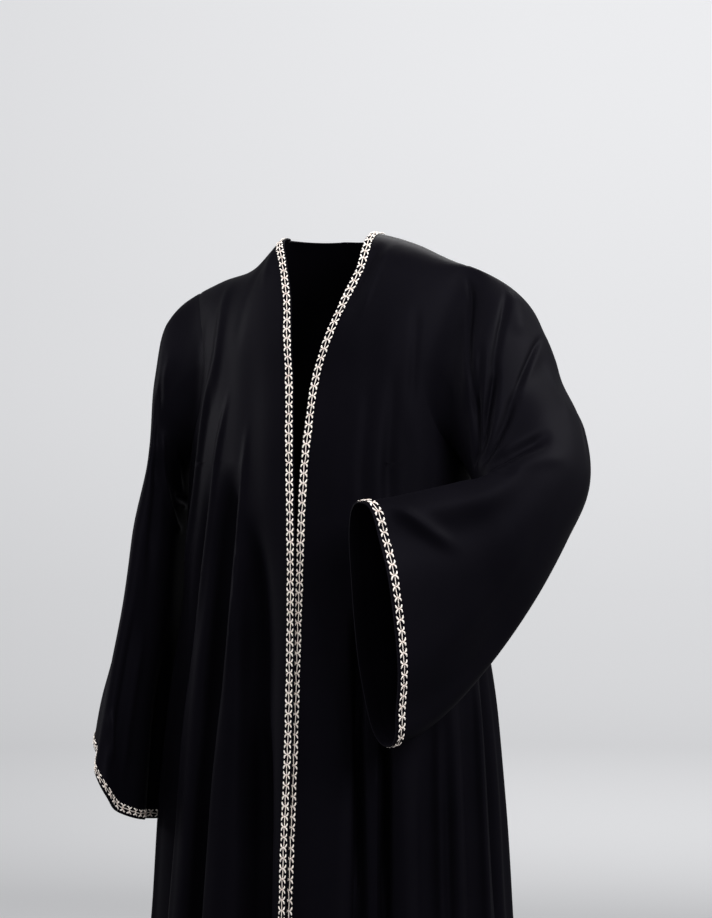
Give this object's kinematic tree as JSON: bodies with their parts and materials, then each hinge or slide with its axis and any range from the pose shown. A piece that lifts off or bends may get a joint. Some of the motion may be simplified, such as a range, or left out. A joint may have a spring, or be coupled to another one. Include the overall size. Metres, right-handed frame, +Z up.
{
  "type": "abaya cloak",
  "caption": "Full-length open black abaya as worn, with bell sleeves, one arm bent, and cream chain braid along the front edges and cuffs.",
  "frame": {"origin": "middle of the neck opening, level with the neck ends of the shoulder seams, where the wearer's neck and shoulders hold the garment up", "axes": "+Z up, the wearer faces -Y and the wearer's left is +X"},
  "size_m": [0.6637, 0.4543, 1.4663],
  "materials": {
    "black_crepe": "soft matte crepe with a satin sheen",
    "cream_braid": "glossy twisted thread, cream with a rose tint"
  },
  "bodies": {
    "root": {"front_right": "black_crepe", "front_left": "black_crepe", "back": "black_crepe", "sleeve_right": "black_crepe", "sleeve_left": "black_crepe", "front_braid_right": "cream_braid", "front_braid_left": "cream_braid", "back_neck_braid": "cream_braid", "cuff_braid_right": "cream_braid", "cuff_braid_left": "cream_braid"}
  },
  "joints": []
}
